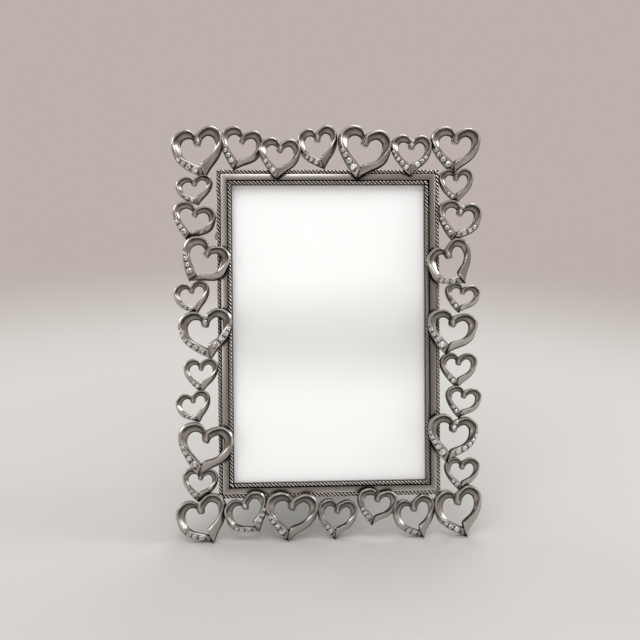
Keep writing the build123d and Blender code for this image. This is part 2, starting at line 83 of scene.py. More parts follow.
# %% [markdown]
# ## Camera
# The photograph looks slightly down on the frame from a little to its left, from about 0.7 m, through a
# short telephoto lens. The place and angles were fitted to the corners of the window and of the garland.
# The small roll is the camera's own. The image is square, so the sensor's width is its height too.

# %% Camera at the photograph's place
CAMERA_PLACE = Vector((-74.7, -719.3, 310.2)) * MM
CAMERA_AZIMUTH = math.radians(-5.67)
CAMERA_ELEVATION = math.radians(16.15)
CAMERA_ROLL = math.radians(1.05)
SENSOR_WIDTH = 36.0
LENS = 84.66

level = math.cos(CAMERA_ELEVATION)
towards_camera = Vector(
    (math.sin(CAMERA_AZIMUTH) * level, -math.cos(CAMERA_AZIMUTH) * level, math.sin(CAMERA_ELEVATION))
)
camera_data = bpy.data.cameras.new("photograph_camera")
camera_data.sensor_width = SENSOR_WIDTH
camera_data.lens = LENS
camera = bpy.data.objects.new("photograph_camera", camera_data)
bpy.context.scene.collection.objects.link(camera)
camera.location = CAMERA_PLACE
camera.rotation_mode = "QUATERNION"
aim = (-towards_camera).to_track_quat("-Z", "Y")
camera.rotation_quaternion = Quaternion(towards_camera, CAMERA_ROLL) @ aim
bpy.context.scene.camera = camera
bpy.context.scene.view_settings.view_transform = "Standard"
print("camera stands", round(CAMERA_PLACE.length, 3), "m from the frame's foot")

# %% [markdown]
# ## Colours and nodes
# A material is a small graph of nodes. Colours are written as the sRGB hex values that a paint program
# shows, and one function turns them to the linear values that the renderer mixes. Another feeds a node its
# inputs, and one adds any node with its settings, so that each material below reads as a recipe.

# %% Helpers for materials
MIX_BY, MIX_A, MIX_B = 0, 6, 7  # inputs of a mix node that blends two colours


def linear(hex_colour):
    """An sRGB hex colour as linear red, green, blue and alpha."""
    channels = [int(hex_colour[i : i + 2], 16) / 255 for i in (1, 3, 5)]
    return (*[c / 12.92 if c <= 0.04045 else ((c + 0.055) / 1.055) ** 2.4 for c in channels], 1.0)


def per_metre(size):
    """The scale that gives a pattern features of a size in millimetres."""
    return 1 / (size * MM)


def start_material(name):
    """A new material, its node tree and its shader."""
    material = bpy.data.materials.new(name)
    material.use_nodes = True
    return material, material.node_tree, material.node_tree.nodes["Principled BSDF"]


def feed(tree, node, inputs):
    """Gives a node its inputs: hex colours, constants, outputs, or nodes for their first output."""
    for socket, source in inputs.items():
        if isinstance(source, bpy.types.Node):
            source = next(output for output in source.outputs if output.enabled)
        if isinstance(source, bpy.types.NodeSocket):
            tree.links.new(source, node.inputs[socket])
        else:
            node.inputs[socket].default_value = linear(source) if isinstance(source, str) else source


def add_node(tree, kind, inputs=None, **settings):
    """Adds a node with its settings and inputs."""
    node = tree.nodes.new("ShaderNode" + kind)
    for key, value in settings.items():
        setattr(node, key, value)
    feed(tree, node, inputs or {})
    return node


print("white is", linear("#FFFFFF"))

# %% [markdown]
# ## Antique pewter
# A zinc casting comes out of the mould matt and faintly grainy, and is plated to look like pewter. The maker
# dips it in a dark wash and rubs it back with a soft wheel: heights go satin and warm grey, thin edges go
# bright, and hollows and side walls keep the brown-black wash. Painting that by hand would take long.
# Ambient occlusion finds the hollows instead. A value stored in the mesh marks walls that stay dark, partly
# from the wash and partly as painted shade, and edges that are polished; it also holds painted shade in the
# lobe tops and across the moulding's face, and painted highlights on the lobes' rims.

# %% Where the wash stays
HOLLOW_REACH = 1.6
TARNISH_SIZE = 9.0
TARNISH_SPREAD = 0.06
RUBBED_FROM, RUBBED_TO = 0.15, 0.8

PEWTER, tree, shader = start_material("pewter_washed_rubbed_and_painted_light")
place = add_node(tree, "TexCoord").outputs["Object"]
# The stored value holds the real wash and, on hearts and moulding, painted shade and painted highlights too
wash_and_painted_light = add_node(tree, "Attribute", attribute_name="wash_and_painted_light").outputs["Fac"]
patches = {"Scale": per_metre(TARNISH_SIZE), "Detail": 5.0, "Roughness": 0.6}
tarnish = add_node(tree, "TexNoise", {"Vector": place, **patches})
spread = {"From Min": 0.3, "From Max": 0.7, "To Min": -TARNISH_SPREAD, "To Max": TARNISH_SPREAD}
uneven = add_node(tree, "MapRange", {"Value": tarnish, **spread})
hollow = add_node(tree, "AmbientOcclusion", {"Distance": HOLLOW_REACH * MM}, samples=8).outputs["AO"]
height = add_node(tree, "Math", {0: hollow, 1: uneven}, operation="ADD")
kept = add_node(tree, "Math", {0: height, 1: wash_and_painted_light}, operation="SUBTRACT")
rub = {"Value": kept, "From Min": RUBBED_FROM, "From Max": RUBBED_TO}
rubbed_and_shaded = add_node(tree, "MapRange", rub, interpolation_type="SMOOTHSTEP")
print("wash stays in hollows less than about", HOLLOW_REACH, "mm wide")

# %% Antique pewter
# Plated casting, washed dark and rubbed back: satin grey with brown hollows and bright edges, plus painted
# shade and painted highlights where the stored value carries them
FULL_POLISH = -0.7
CAST_GRAIN = 0.45  # real grain is about 0.1 mm, drawn coarser so that it shows
CAST_GRAIN_DEPTH = 0.03

# Values below 0 brighten the metal: polish on real edges, and painted highlights on the lobe tops' rims
polished_and_highlit = add_node(tree, "MapRange", {"Value": wash_and_painted_light, "From Max": FULL_POLISH})
metal = add_node(tree, "Mix", {MIX_BY: rubbed_and_shaded, MIX_A: "#1A1614", MIX_B: "#B9B3AD"}, data_type="RGBA")
colour = add_node(tree, "Mix", {MIX_BY: polished_and_highlit, MIX_A: metal, MIX_B: "#E8E5E1"}, data_type="RGBA")
roughness = add_node(tree, "MapRange", {"Value": rubbed_and_shaded, "To Min": 0.6, "To Max": 0.3})
grain = add_node(tree, "TexNoise", {"Vector": place, "Scale": per_metre(CAST_GRAIN), "Detail": 3.0})
bump = add_node(tree, "Bump", {"Height": grain, "Strength": 0.02, "Distance": CAST_GRAIN_DEPTH * MM})
feed(tree, shader, {"Base Color": colour, "Metallic": 1.0, "Roughness": roughness, "Normal": bump})
print("made", PEWTER.name)

# %% [markdown]
# ## From rings to pieces
# Hearts, ropes and moulding are all one idea: a cross-section carried along a path. A ring of points at each
# step, joined to the next ring by quads, gives full control over every edge, where a bevelled curve would
# keep one section all the way. One more helper turns the result into an object that rides on its body.

# %% Rings into a skin
class Skin:
    """Points, faces, and values of wash and painted light that grow into one mesh."""

    def __init__(self):
        self.points = []
        self.faces = []
        self.wash_and_painted_light = []

    def add_rings(self, rings, wash_and_light_rings, closed=False):
        """Joins ring to ring, and either closes the loop or caps both ends."""
        first = len(self.points)
        count = len(rings[0])
        for ring, wash_and_painted_light in zip(rings, wash_and_light_rings):
            self.points.extend(ring)
            self.wash_and_painted_light.extend(wash_and_painted_light)
        for step in range(len(rings) if closed else len(rings) - 1):
            near = first + step * count
            far = first + (step + 1) % len(rings) * count
            for i in range(count):
                j = (i + 1) % count
                self.faces.append((near + i, near + j, far + j, far + i))
        if not closed:
            last = first + (len(rings) - 1) * count
            self.faces.append(tuple(range(first + count - 1, first - 1, -1)))
            self.faces.append(tuple(range(last, last + count)))


print("a skin keeps", ", ".join(vars(Skin())))

# %% A skin into a piece
SHARP_ANGLE = math.radians(38.0)
SOFT_LIMIT = 0.12  # a soft corner takes up no more than this share of a face


def make_piece(name, skin, material, nodes, flat=False):
    """A mesh object with tidy normals, riding on the frame in place of the packed nodes."""
    mesh = bpy.data.meshes.new(name)
    mesh.from_pydata(skin.points, [], skin.faces)
    mesh.attributes.new("wash_and_painted_light", "FLOAT", "POINT").data.foreach_set("value", skin.wash_and_painted_light)
    shaped = bmesh.new()
    shaped.from_mesh(mesh)
    bmesh.ops.recalc_face_normals(shaped, faces=shaped.faces)
    for face in shaped.faces:
        face.smooth = not flat
    for edge in shaped.edges:
        edge.smooth = len(edge.link_faces) == 2 and edge.calc_face_angle() < SHARP_ANGLE
    shaped.to_mesh(mesh)
    shaped.free()
    mesh.materials.append(material)
    piece = bpy.data.objects.new(name, mesh)
    bpy.context.scene.collection.objects.link(piece)
    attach(piece, "frame")
    if nodes:
        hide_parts(*nodes)
    print("made", name, "with", len(mesh.polygons), "faces")


def soften(before, corner, after, reach):
    """Four points of a small curve in place of a sharp corner."""
    start = corner + (before - corner) * min(reach / (before - corner).length, SOFT_LIMIT)
    end = corner + (after - corner) * min(reach / (after - corner).length, SOFT_LIMIT)
    shares = (0, 1 / 3, 2 / 3, 1)
    return [start.lerp(corner, t).lerp(corner.lerp(end, t), t) for t in shares]


print("edges that turn by more than", round(math.degrees(SHARP_ANGLE)), "degrees stay crisp")

# %% [markdown]
# ## Ribbon hearts: where they lie
# Each heart is a flat ribbon bent into two arms, its ridge wandering from the outer edge over the lobes to
# the inner edge by the tip. Modelling thirty-two by hand would take days. One heart is described at a few
# key places along each arm, and every heart in the garland is that one, sized to the box that it fills,
# turned, and made fuller on the side it turns to. The boxes are read off the photograph in half millimetres.

# %% One heart
LEFT_ARM = [  # outer edge x, y; inner edge x, y; ridge's share across; rise of outer edge, ridge, inner edge
    (-0.02, 0.86, -0.05, 0.72, 0.20, 0.50, 0.70, 0.30),
    (-0.10, 0.965, -0.10, 0.80, 0.12, 0.82, 0.95, 0.30),
    (-0.25, 1.00, -0.205, 0.82, 0.12, 0.86, 1.00, 0.30),
    (-0.43, 0.905, -0.295, 0.755, 0.13, 0.84, 1.00, 0.35),
    (-0.50, 0.72, -0.325, 0.65, 0.18, 0.75, 1.00, 0.45),
    (-0.45, 0.51, -0.295, 0.53, 0.45, 0.55, 1.00, 0.55),
    (-0.32, 0.31, -0.21, 0.42, 0.80, 0.45, 0.95, 0.70),
    (-0.15, 0.12, -0.11, 0.335, 0.85, 0.42, 0.85, 0.65),
    (0.0, 0.005, 0.08, 0.17, 0.85, 0.40, 0.70, 0.55),
]
RIGHT_ARM = [
    (-0.085, 0.655, 0.06, 0.615, 0.50, 0.55, 0.90, 0.55),
    (-0.07, 0.785, 0.075, 0.705, 0.45, 0.60, 1.00, 0.50),
    (0.005, 0.895, 0.115, 0.77, 0.22, 0.80, 1.00, 0.42),
    (0.24, 1.00, 0.215, 0.82, 0.12, 0.86, 1.00, 0.30),
    (0.43, 0.905, 0.31, 0.76, 0.13, 0.84, 1.00, 0.35),
    (0.50, 0.72, 0.33, 0.645, 0.30, 0.70, 1.00, 0.45),
    (0.455, 0.52, 0.295, 0.535, 0.70, 0.60, 1.00, 0.60),
    (0.33, 0.335, 0.20, 0.43, 0.85, 0.60, 1.00, 0.75),
    (0.15, 0.17, 0.08, 0.362, 0.90, 0.62, 1.00, 0.80),
    (-0.005, 0.0, -0.045, 0.295, 0.90, 0.62, 1.00, 0.80),
]
ARMS = {"left": (-1, LEFT_ARM), "right": (1, RIGHT_ARM)}


def along(stations, share):
    """A smooth curve through the key stations, by the usual cubic through four neighbours."""
    last = len(stations) - 1
    at = min(int(share * last), last - 1)
    f = share * last - at
    around = [stations[min(max(at + step, 0), last)] for step in (-1, 0, 1, 2)]
    return [
        (2 * q + (r - p) * f + (2 * p - 5 * q + 4 * r - s) * f**2 + (3 * q - p - 3 * r + s) * f**3) / 2
        for p, q, r, s in zip(*around)
    ]


print("a heart is drawn by", len(LEFT_ARM) + len(RIGHT_ARM), "places along its arms")

# %% The garland
# Row, box edges in millimetres from the window's middle, turn in degrees clockwise, stones on the left arm,
# on the right arm and on the curl, whether it rides up over the rail, and the neighbours that lie over it
GARLAND = {
    "t1": ("corner", -76.5, -51, 76, 101.5, -10, (4, 0, 0), False, ["t2"]),
    "t2": ("top", -52.5, -31.5, 80, 101.5, 13, (3, 0, 0), False, ["t3"]),
    "t3": ("top", -34, -13.5, 75.5, 96, 5, (3, 0, 0), True, ["t4"]),
    "t4": ("top", -15, 5, 80.5, 102, -11, (3, 0, 0), False, ["t5"]),
    "t5": ("top", 5, 31.5, 75.5, 102, 11, (4, 0, 0), True, []),
    "t6": ("top", 31, 51.5, 77, 97.5, 2, (5, 3, 2), True, ["t5"]),
    "t7": ("corner", 51, 76, 78, 101.5, 3, (4, 0, 0), False, ["t6", "r1"]),
    "l1": ("left", -74.5, -56.5, 63, 78, -9, (2, 0, 0), False, ["t1"]),
    "l2": ("left", -76, -55, 46, 65, 14, (3, 0, 0), False, ["l1", "l3"]),
    "l3": ("left", -71.5, -48.5, 26, 48, 26, (4, 0, 0), True, ["l4"]),
    "l4": ("left", -76, -58.5, 10, 26.5, -12, (2, 0, 0), False, []),
    "l5": ("left", -74, -47.5, -12, 13, -8, (6, 4, 2), True, ["l4"]),
    "l6": ("left", -71.5, -54.5, -28.5, -11.5, -2, (2, 0, 0), False, ["l5"]),
    "l7": ("left", -75.5, -58.5, -43, -27, -14, (2, 0, 0), False, ["l6"]),
    "l8": ("left", -74.5, -47.5, -69, -42.5, 9, (4, 0, 0), True, ["l7"]),
    "l9": ("left", -72.5, -55, -82, -65, 4, (2, 0, 0), False, ["l8"]),
    "l10": ("corner", -76, -51, -102, -77.5, -18, (3, 0, 0), False, ["l9"]),
    "r1": ("right", 55, 72.5, 63.5, 81, -2, (2, 0, 0), False, []),
    "r2": ("right", 54.5, 76.5, 44.5, 65.5, 10, (4, 3, 2), False, ["r1"]),
    "r3": ("right", 48, 71, 24, 46.5, -26, (3, 0, 0), True, ["r2"]),
    "r4": ("right", 58, 75.5, 9.5, 24.5, 9, (2, 0, 0), False, ["r3"]),
    "r5": ("right", 48, 74, -11, 11.5, 10, (4, 0, 0), True, ["r4", "r6"]),
    "r6": ("right", 55, 74, -28, -10, 2, (2, 0, 0), False, []),
    "r7": ("right", 58, 76, -43, -26.5, 10, (2, 0, 0), False, ["r6"]),
    "r8": ("right", 48, 74, -64.5, -40, 9, (5, 5, 2), True, ["r7", "r9"]),
    "r9": ("right", 57, 75, -79.5, -62, 2, (2, 0, 0), False, []),
    "r10": ("corner", 51.5, 76, -102, -76, -12, (3, 0, 0), False, ["r9"]),
    "b1": ("bottom", -52.5, -31, -97, -76.5, -24, (3, 3, 1), True, ["l10"]),
    "b2": ("bottom", -32.5, -6, -102.5, -77, 5, (4, 0, 0), True, ["b1"]),
    "b3": ("bottom", -6.5, 13.5, -102, -81.5, 4, (2, 0, 0), False, ["b2"]),
    "b4": ("bottom", 13, 33, -95, -76, 9, (3, 0, 0), True, ["b3"]),
    "b5": ("bottom", 31, 52.5, -102, -80, -15, (2, 0, 0), False, ["b4", "r10"]),
}
print("the garland has", len(GARLAND), "hearts")

# %% Hearts fitted to their boxes
LOBE_LEVEL = 0.72
FULLNESS = 0.0045
FULLNESS_DROP = 0.45
HOOK = 0.003
FIT_ROUNDS = 8
FIT_STEPS = 30
FIT_SHARES = [step / FIT_STEPS for step in range(FIT_STEPS + 1)]


def turned_point(side, x, y, width, height, turn):
    """A point of the unit heart, made fuller on the side it turns to, hooked, sized and turned."""
    up = min(y / LOBE_LEVEL, 1)
    if side * turn > 0:
        full = FULLNESS * abs(turn) * math.sin(math.pi * up) ** 2
        x = x + side * full
        y = y - FULLNESS_DROP * full
    x = (x + HOOK * turn * (1 - (1 - up) ** 2)) * width
    y = y * height
    c = math.cos(math.radians(turn))
    s = math.sin(math.radians(turn))
    return Vector((x * c + y * s, y * c - x * s, 0))


Drawn = namedtuple("Drawn", "row left right bottom top turn stones rides under")
Heart = namedtuple("Heart", "drawn tip width height")


def fit_heart(drawn):
    """The width, height and tip that make a turned heart fill its box."""
    box_width = drawn.right - drawn.left
    box_height = drawn.top - drawn.bottom
    width = box_width
    height = box_height
    unit_ring = [(side, *along(stations, t)[:2]) for side, stations in ARMS.values() for t in FIT_SHARES]
    for _ in range(FIT_ROUNDS):
        ring = [turned_point(side, x, y, width, height, drawn.turn) for side, x, y in unit_ring]
        xs = [point.x for point in ring]
        ys = [point.y for point in ring]
        width = width * box_width / (max(xs) - min(xs))
        height = height * box_height / (max(ys) - min(ys))
    return Heart(drawn, Vector((drawn.left - min(xs), drawn.bottom - min(ys), 0)), width, height)


HEARTS = {name: fit_heart(Drawn(*values)) for name, values in GARLAND.items()}
widths = [heart.width for heart in HEARTS.values()]
print("hearts are", round(min(widths), 1), "to", round(max(widths), 1), "mm wide")

# %% [markdown]
# ## Ribbon hearts: how they are shaped
# A section has five corners: back and edge on the outside, the ridge, edge and back on the inside. Soft
# corners, a slightly full outer face and a hollow inner face catch the light as a cast and rubbed ribbon
# does. An end closes by shrinking its last sections along a rounded curve. A heart that passes under its
# neighbour dips there, and a heart on the rail climbs over it.

# %% A heart's place, on the rail or beside it
RAIL_EDGE = Vector((54.9, 80.3))
RAIL_SEAT = 8.1
HEART_BACK = 4.5
RAMP_LENGTH = 20.0


def heart_point(heart, side, x, y):
    """A point of the unit heart where it lies on the frame."""
    return heart.tip + turned_point(side, x, y, heart.width, heart.height, heart.drawn.turn)


def back_depth(heart, point):
    """How far forward the heart's back lies: level, or climbing over the rail."""
    if not heart.drawn.rides:
        return HEART_BACK
    if heart.drawn.row in ("left", "right"):
        inside = RAIL_EDGE.x - abs(point.x)
    else:
        inside = RAIL_EDGE.y - abs(point.y)
    return HEART_BACK + (RAIL_SEAT - HEART_BACK) * (1 + inside / RAMP_LENGTH)


print("a heart climbs", round(RAIL_SEAT - HEART_BACK, 1), "mm to the rail")

# %% Dips under neighbours
DIP = 0.06
DIP_REACH = 2.5
CURL_INSIDE = 0.2  # this share of the right arm curls in, away from the outline


def share_between(value, low, high):
    """How far a value has come from low to high, from 0 to 1."""
    return min(max((value - low) / (high - low), 0), 1)


def eased(share):
    """A share that starts and ends gently."""
    return share * share * (3 - 2 * share)


def outline(heart):
    """The heart's outer edge, down the left arm to the tip and up the right."""
    left = [heart_point(heart, -1, *along(LEFT_ARM, t)[:2]) for t in FIT_SHARES]
    right = [heart_point(heart, 1, *along(RIGHT_ARM, t)[:2]) for t in FIT_SHARES if t > CURL_INSIDE]
    return left + right[::-1]


OUTLINES = {name: outline(heart) for name, heart in HEARTS.items()}


def reach_inside(ring, point):
    """Distance from a point to a closed outline, positive inside it."""
    nearest = math.inf
    inside = False
    for a, b in zip(ring, ring[1:] + ring[:1]):
        side = b - a
        t = min(max((point - a).dot(side) / max(side.length_squared, 1e-9), 0), 1)
        nearest = min(nearest, (point - a - side * t).length)
        if (a.y > point.y) != (b.y > point.y):
            if point.x < a.x + side.x * (point.y - a.y) / side.y:
                inside = not inside
    return nearest if inside else -nearest


def dip(heart, point):
    """Share of its height that a heart keeps where neighbours lie over it."""
    reaches = [reach_inside(OUTLINES[name], point) for name in heart.drawn.under]
    return min([1 - DIP * eased(share_between(reach, -DIP_REACH, 0)) for reach in reaches], default=1)


print("a heart keeps", 1 - DIP, "of its height under a neighbour")

# %% Corners of a section
RIBBON_DEPTH = 0.19
SKIRT = 0.035
SKIRT_FROM, SKIRT_TO = 0.45, 0.7
FORWARD = Vector((0, 0, 1))


def skirt(heart, arm, share):
    """How far the blade's top lies in from its foot, so that its lower wall shows from the front."""
    if arm == "left":
        return 0
    return SKIRT * heart.width * eased(share_between(share, SKIRT_FROM, SKIRT_TO))


def corners(heart, arm, share):
    """The five corners of a ribbon's section: outer back, outer edge, ridge, inner edge, inner back."""
    side, stations = ARMS[arm]
    ox, oy, ix, iy, ridge_share, *rises = along(stations, share)
    outer = heart_point(heart, side, ox, oy)
    inner = heart_point(heart, side, ix, iy)
    edge = outer + (inner - outer).normalized() * skirt(heart, arm, share)
    ridge = edge.lerp(inner, ridge_share)
    depth = RIBBON_DEPTH * heart.width
    tops = []
    for point, rise in zip((edge, ridge, inner), rises):
        forward = back_depth(heart, point) + rise * depth * dip(heart, point)
        tops.append(point + FORWARD * forward)
    outer_back = outer + FORWARD * back_depth(heart, outer)
    inner_back = inner + FORWARD * back_depth(heart, inner)
    return [outer_back, *tops, inner_back]


def face_point(low, high, share, lift):
    """A point across a face, lifted square to it in millimetres."""
    across = high - low
    level = Vector((across.x, across.y, 0)).normalized()
    square = (FORWARD * across.dot(level) - level * across.z).normalized()
    return low + across * share + square * lift


widest = corners(HEARTS["t5"], "right", 0.5)
print("the widest ribbon is", round((widest[0] - widest[4]).length, 1), "mm across at its side")

# %% [markdown]
# ## Ribbon hearts: channels, ends and meshes
# The stones sit in a shallow channel cut along the outer face, between two thin rims, so the face has points
# at the channel's edges that sink where stones lie. The curl in the cleft ends round like a finger, and the
# broad right blade runs out to a point over the left arm. Hearts of one row share a mesh, as one casting.

# %% Where stones lie on an arm
STONE_SHARE = 0.068
STONE_TAPER = 0.87
STONE_SPACING = 0.3
STONE_START = 0.125
STONE_STEP = 0.02
CHANNEL_END = 0.05


def face_middle(heart, arm, share):
    """The middle of the outer face, and the line across it."""
    _, edge, ridge, _, _ = corners(heart, arm, share)
    return (edge + ridge) / 2, ridge - edge


def stone_spots(heart, arm, count):
    """Graded stones from the tip up an arm: share of the arm, and radius."""
    spots = []
    share = 1 - STONE_START
    radius = STONE_SHARE * heart.width
    for _ in range(count):
        spots.append((share, radius))
        step = face_middle(heart, arm, share - STONE_STEP)[0] - face_middle(heart, arm, share)[0]
        share = share - STONE_STEP * (radius * (1 + STONE_TAPER) + STONE_SPACING) / step.length
        radius = radius * STONE_TAPER
    return spots


def channel(spots, share):
    """How deep the stones' channel is cut, from 0 to 1."""
    if not spots:
        return 0
    low = spots[-1][0] - CHANNEL_END
    high = spots[0][0] + CHANNEL_END
    return share_between(min(share - low, high - share), 0, CHANNEL_END / 2)


SPOTS = {
    name: {arm: stone_spots(heart, arm, count) for arm, count in zip(ARMS, heart.drawn.stones)}
    for name, heart in HEARTS.items()
}
print("the largest stone is", round(2 * STONE_SHARE * max(widths), 1), "mm across")

# %% Wash across a ribbon
FACE_CUT = (0, 1, 1, 1, 0)  # 1 at the points of a face that sink into the channel
BACK_WASH = 0.55
CHANNEL_WASH = 0.9
RIM_POLISH = -0.4
POLISH_AND_HIGHLIGHT = -0.35
# Painted shade on the inner faces of the lobe tops, between LOBE_FROM and LOBE_TO of the heart's height
LOBE_PAINTED_SHADE = 0.68
LOBE_FROM, LOBE_TO = 0.66, 0.88
LOBE_WALL_PAINTED_LIGHT = 0.7
LOBE_SHADE_ACROSS_HOLLOW = (1, 0.7, 0.5)
INNER_EDGE_DARKENING = 0.5
TAIL_DARKENING = 0.7
TAIL_FROM = 0.9


def section_wash_and_light(arm, share, cut, curl):
    """Wash and painted light at a section's points: dark in the channel, walls and ends, painted shade in
    the lobe tops, below 0 where edges are polished or carry a painted highlight.
    """
    # Lobe tops, where light falls from above: painted shade on the downward inner faces, a painted highlight
    # on the outer rims
    top = share_between(along(ARMS[arm][1], share)[1], LOBE_FROM, LOBE_TO) * (1 - curl)
    lobe = LOBE_PAINTED_SHADE * top
    rim = POLISH_AND_HIGHLIGHT * top
    # Outer and inner walls stay dark: partly wash kept at their foot, partly painted shade on walls turned
    # from the light; at the lobe tops painted light lifts them
    wall = 1 - LOBE_WALL_PAINTED_LIGHT * top
    outer = [BACK_WASH, wall, wall, rim, rim, rim]
    face = [cut * (CHANNEL_WASH if c else RIM_POLISH) + rim for c in FACE_CUT]
    ridge = [POLISH_AND_HIGHLIGHT, POLISH_AND_HIGHLIGHT, POLISH_AND_HIGHLIGHT / 2, lobe]
    hollow = [lobe * kept for kept in LOBE_SHADE_ACROSS_HOLLOW]
    # Inner edges a little darker, leading into the dark inner wall
    inner = [lobe, lobe, INNER_EDGE_DARKENING + lobe, 1, 1, BACK_WASH]
    wash_and_painted_light = outer + face + ridge + hollow + inner
    if arm == "right":
        return [1] * len(wash_and_painted_light) if share == 1 else wash_and_painted_light
    # The left arm darkens towards its end, where it runs under the blade
    tail = TAIL_DARKENING * share_between(share, TAIL_FROM, 1)
    return [value + tail for value in wash_and_painted_light]


print("a section keeps wash at", len(section_wash_and_light("left", 0, 0, 0)), "points")

# %% Sections and ends of a ribbon
EDGE_SOFTNESS = 0.4
RIDGE_SOFTNESS = 0.7
FULL_FACE = 0.04
HOLLOW_FACE = 0.05
CURL_REACH = 0.24
CURL_FULLNESS = 0.12
CHANNEL_DEPTH = 0.3
FACE_SHARES = (0.14, 0.2, 0.5, 0.8, 0.86)
HOLLOW_SHARES = (0.25, 0.5, 0.75)
WALL_SHARE = 0.85
CLOSING = {"left": (0.02, 0.02), "right": (0.09, 0.07)}
BLADE_ROUNDNESS = 3
SMALLEST_END = 0.1


def bulge(share):
    """Rises from 0 at both edges of a face to 1 in its middle."""
    return 4 * share * (1 - share)


def section(heart, arm, share, spots):
    """The points of one section, and the wash that each keeps."""
    outer_back, edge, ridge, inner_edge, inner_back = corners(heart, arm, share)
    cut = channel(spots, share)
    curl = max(1 - share / CURL_REACH, 0) if arm == "right" else 0
    full = (FULL_FACE + CURL_FULLNESS * curl) * (ridge - edge).length
    hollow = (HOLLOW_FACE - (HOLLOW_FACE + CURL_FULLNESS) * curl) * (inner_edge - ridge).length
    outer_wall = edge.lerp(outer_back, WALL_SHARE)
    inner_wall = inner_edge.lerp(inner_back, WALL_SHARE)
    points = [outer_back, outer_wall, *soften(outer_back, edge, ridge, EDGE_SOFTNESS)]
    for s, c in zip(FACE_SHARES, FACE_CUT):
        points.append(face_point(edge, ridge, s, full * bulge(s) - CHANNEL_DEPTH * cut * c))
    points.extend(soften(edge, ridge, inner_edge, RIDGE_SOFTNESS))
    for s in HOLLOW_SHARES:
        points.append(face_point(ridge, inner_edge, s, -hollow * bulge(s)))
    points.extend(soften(ridge, inner_edge, inner_back, EDGE_SOFTNESS))
    points.extend([inner_wall, inner_back])
    return points, section_wash_and_light(arm, share, cut, curl)


def closed_in(points, arm, share):
    """Sections near an end: the curl is drawn together, the blade rounds off to its tip at full height."""
    start, end = CLOSING[arm]
    outer_back, inner_back = points[0], points[-1]
    if share < start:
        keep = max(math.sqrt(1 - (1 - share / start) ** 2), SMALLEST_END)
        pivot = (outer_back + inner_back) / 2
        return [pivot + (point - pivot) * keep for point in points]
    if arm == "right" and share > 1 - end:
        gone = max(1 - ((share - 1 + end) / end) ** BLADE_ROUNDNESS, 0)
        keep = max(gone ** (1 / BLADE_ROUNDNESS), SMALLEST_END)
        narrow = Vector((keep, keep, 1))
        return [outer_back + (point - outer_back) * narrow for point in points]
    return points


print("a section has", len(section(HEARTS["t5"], "left", 0.5, [])[0]), "points")

# %% Ribbon hearts
ARM_STEPS = 40
END_STEPS = 6
ROWS = ("top", "bottom", "left", "right", "corner")


def arm_shares(arm):
    """Steps along an arm, closer together where an end rounds off."""
    start, end = CLOSING[arm]
    quarter = [1 - math.cos(math.pi / 2 * step / END_STEPS) for step in range(END_STEPS)]
    middle = [start + (1 - start - end) * step / ARM_STEPS for step in range(ARM_STEPS + 1)]
    return [start * q for q in quarter] + middle + [1 - end * q for q in reversed(quarter)]


def on_floor(place):
    """A place in the scene, filed level with the floor if it would lie under it."""
    return Vector((place.x, place.y, max(place.z, 0)))


def add_ribbon(skin, heart, arm, spots):
    """One arm of a heart."""
    rings = []
    wash_and_light_rings = []
    for share in arm_shares(arm):
        points, wash_and_painted_light = section(heart, arm, share, spots)
        rings.append([on_floor(on_frame(point)) for point in closed_in(points, arm, share)])
        wash_and_light_rings.append(wash_and_painted_light)
    skin.add_rings(rings, wash_and_light_rings)


def hearts_of(row):
    """The names and hearts of one row of the garland."""
    return [(name, heart) for name, heart in HEARTS.items() if heart.drawn.row == row]


for row in ROWS:
    skin = Skin()
    for name, heart in hearts_of(row):
        for arm in ARMS:
            add_ribbon(skin, heart, arm, SPOTS[name][arm])
    make_piece(f"{row}_ribbon_hearts", skin, PEWTER, [f"{row}_hearts"])

# %% [markdown]
# ## Rope borders
# Two ropes run round the window. A round bar with a bump map would look flat from the side, so the section
# is three strands that turn as it goes, and the strands' own points turn with it to keep the grooves clean.
# On the casting the strands lean the same way on all four sides, so the twist reverses at each corner.

# %% Strands of a rope
WINDOW = Vector((47.2, 72.6))
STRAND_PITCH = 1.85
STRANDS = 3
STRAND_POINTS = 6
STRAND_GROOVE = 0.55
STRAND_POLISH = -1.0
STRAND_GAP = 3.2
CORNERS = [Vector((-1, -1)), Vector((1, -1)), Vector((1, 1)), Vector((-1, 1))]


def window_corner(corner, out):
    """The window's corner, moved out by a distance on both sides."""
    return Vector((corner.x * (WINDOW.x + out), corner.y * (WINDOW.y + out)))


def rope_section(out, forward, radius, turn):
    """Three strands as one ring of distances out from the window and forward."""
    ring = []
    for i in range(STRANDS * STRAND_POINTS):
        angle = 2 * math.pi * i / (STRANDS * STRAND_POINTS)
        lobe = abs(math.cos(angle * STRANDS / 2))
        r = radius * (1 - STRAND_GROOVE * (1 - lobe))
        ring.append((out + r * math.cos(angle + turn), forward + r * math.sin(angle + turn)))
    depths = [1 - abs(math.cos(math.pi * i / STRAND_POINTS)) for i in range(len(ring))]
    return ring, [STRAND_POLISH + (1 - STRAND_POLISH) * min(STRAND_GAP * depth, 1) for depth in depths]


def rope_strands(out):
    """Strands along the two kinds of side, so that the twist closes after four corners."""
    level = round(2 * (WINDOW.x + out) / STRAND_PITCH)
    upright = level + STRANDS * round((2 * (WINDOW.y + out) / STRAND_PITCH - level) / STRANDS)
    return level, upright


print("strands show every", STRAND_PITCH, "mm along a rope")

# %% Rope borders
INNER_ROPE = (1.45, 7.6, 1.0)  # out from the window, forward, and radius
OUTER_ROPE = (6.7, 7.0, 1.0)
TURN_STEPS = 4  # sections to each strand's pitch
MITRE_REACH = 3.0


